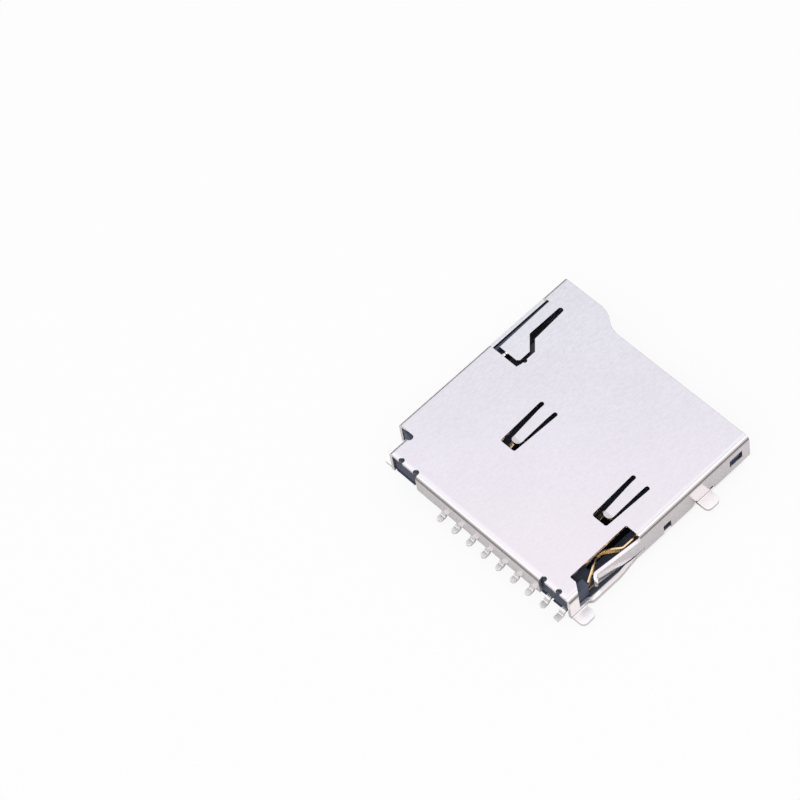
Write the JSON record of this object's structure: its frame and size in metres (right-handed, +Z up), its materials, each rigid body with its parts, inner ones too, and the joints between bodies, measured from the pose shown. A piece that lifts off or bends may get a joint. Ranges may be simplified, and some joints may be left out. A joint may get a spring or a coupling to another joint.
{
  "type": "push-push memory card socket",
  "caption": "Surface-mount push-push socket for a small memory card: moulded base, folded sheet cover, sprung slider, cam link, card contacts and a card-detect switch.",
  "frame": {"origin": "on the board plane, midway between the cover's side walls, on the line through the two locating pegs", "axes": "+X across the card towards the slider and spring, +Y from the card mouth to the solder tails, +Z up from the circuit board"},
  "size_m": [0.016, 0.0148, 0.0025],
  "materials": {
    "cover_steel": "nickel-plated stainless sheet with fine rolling grain",
    "base_plastic": "glass-filled black moulding, matt with fine speckle",
    "slider_plastic": "plain black moulding",
    "tinned_contact": "bright tin plate on copper alloy strip",
    "gilt_contact": "gold plate on copper alloy strip",
    "bright_wire": "bright drawn spring steel"
  },
  "bodies": {
    "socket": {"base_housing": "base_plastic", "shell_cover": "cover_steel", "contact_1": "tinned_contact", "contact_2": "tinned_contact", "contact_3": "tinned_contact", "contact_4": "tinned_contact", "contact_5": "tinned_contact", "contact_6": "tinned_contact", "contact_7": "tinned_contact", "contact_8": "tinned_contact", "detect_contact": "gilt_contact", "coil_spring": "bright_wire"},
    "slider": {"slider": "slider_plastic"},
    "link": {"cam_link": "bright_wire"}
  },
  "joints": [
    {"name": "slider_slide", "type": "slide", "parent": "socket", "child": "slider", "axis": [0, 1, 0], "range_m": [0, 0.0041], "stiffness_N_per_m": 250, "springref_m": -0.004, "deforming": ["coil_spring"]},
    {"name": "link_swing", "type": "hinge", "parent": "socket", "child": "link", "pos_m": [0.00645, -0.00278, 0], "axis": [0, 0, 1], "range_deg": [0, 5.6]}
  ],
  "couplings": [
    {"joint": "link_swing", "follows": "slider_slide", "rad_per_m": 22.987}
  ]
}
